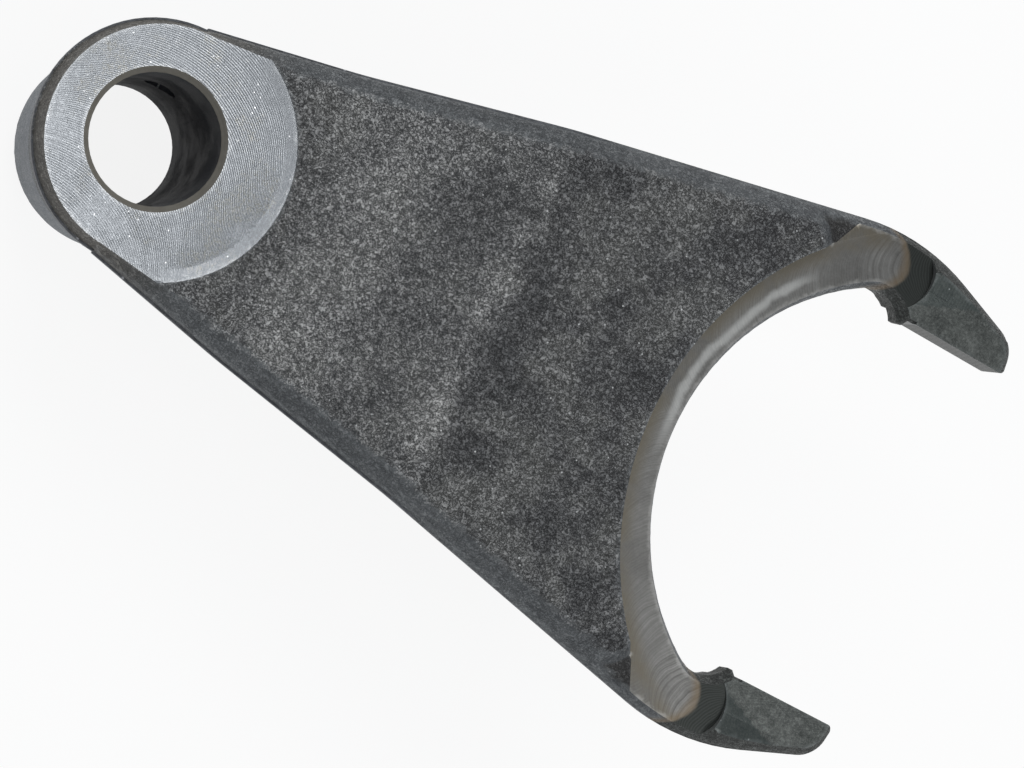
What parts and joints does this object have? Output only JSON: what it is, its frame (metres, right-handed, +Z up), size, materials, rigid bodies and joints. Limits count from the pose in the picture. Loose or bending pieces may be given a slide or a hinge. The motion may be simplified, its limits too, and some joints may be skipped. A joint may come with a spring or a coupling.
{
  "type": "differential lock fork",
  "caption": "Forged steel fork with a long bored boss, a stepped tapering web and a round yoke whose milled prongs slide a lock sleeve.",
  "frame": {"origin": "on the axis of the shaft bore, in the milled front face of the boss, 1.3 mm in front of where the bore wall begins behind its chamfer", "axes": "+Z along the bore, out of the milled face; +X from the boss to the prongs; +Y towards the prong on the left as one looks along +X with +Z up"},
  "size_m": [0.234, 0.131, 0.0738],
  "materials": {
    "forged_steel": "as-forged grey skin, with bright milled faces on the boss, the crescent and the pads"
  },
  "bodies": {
    "root": {"fork": "forged_steel"}
  },
  "joints": []
}
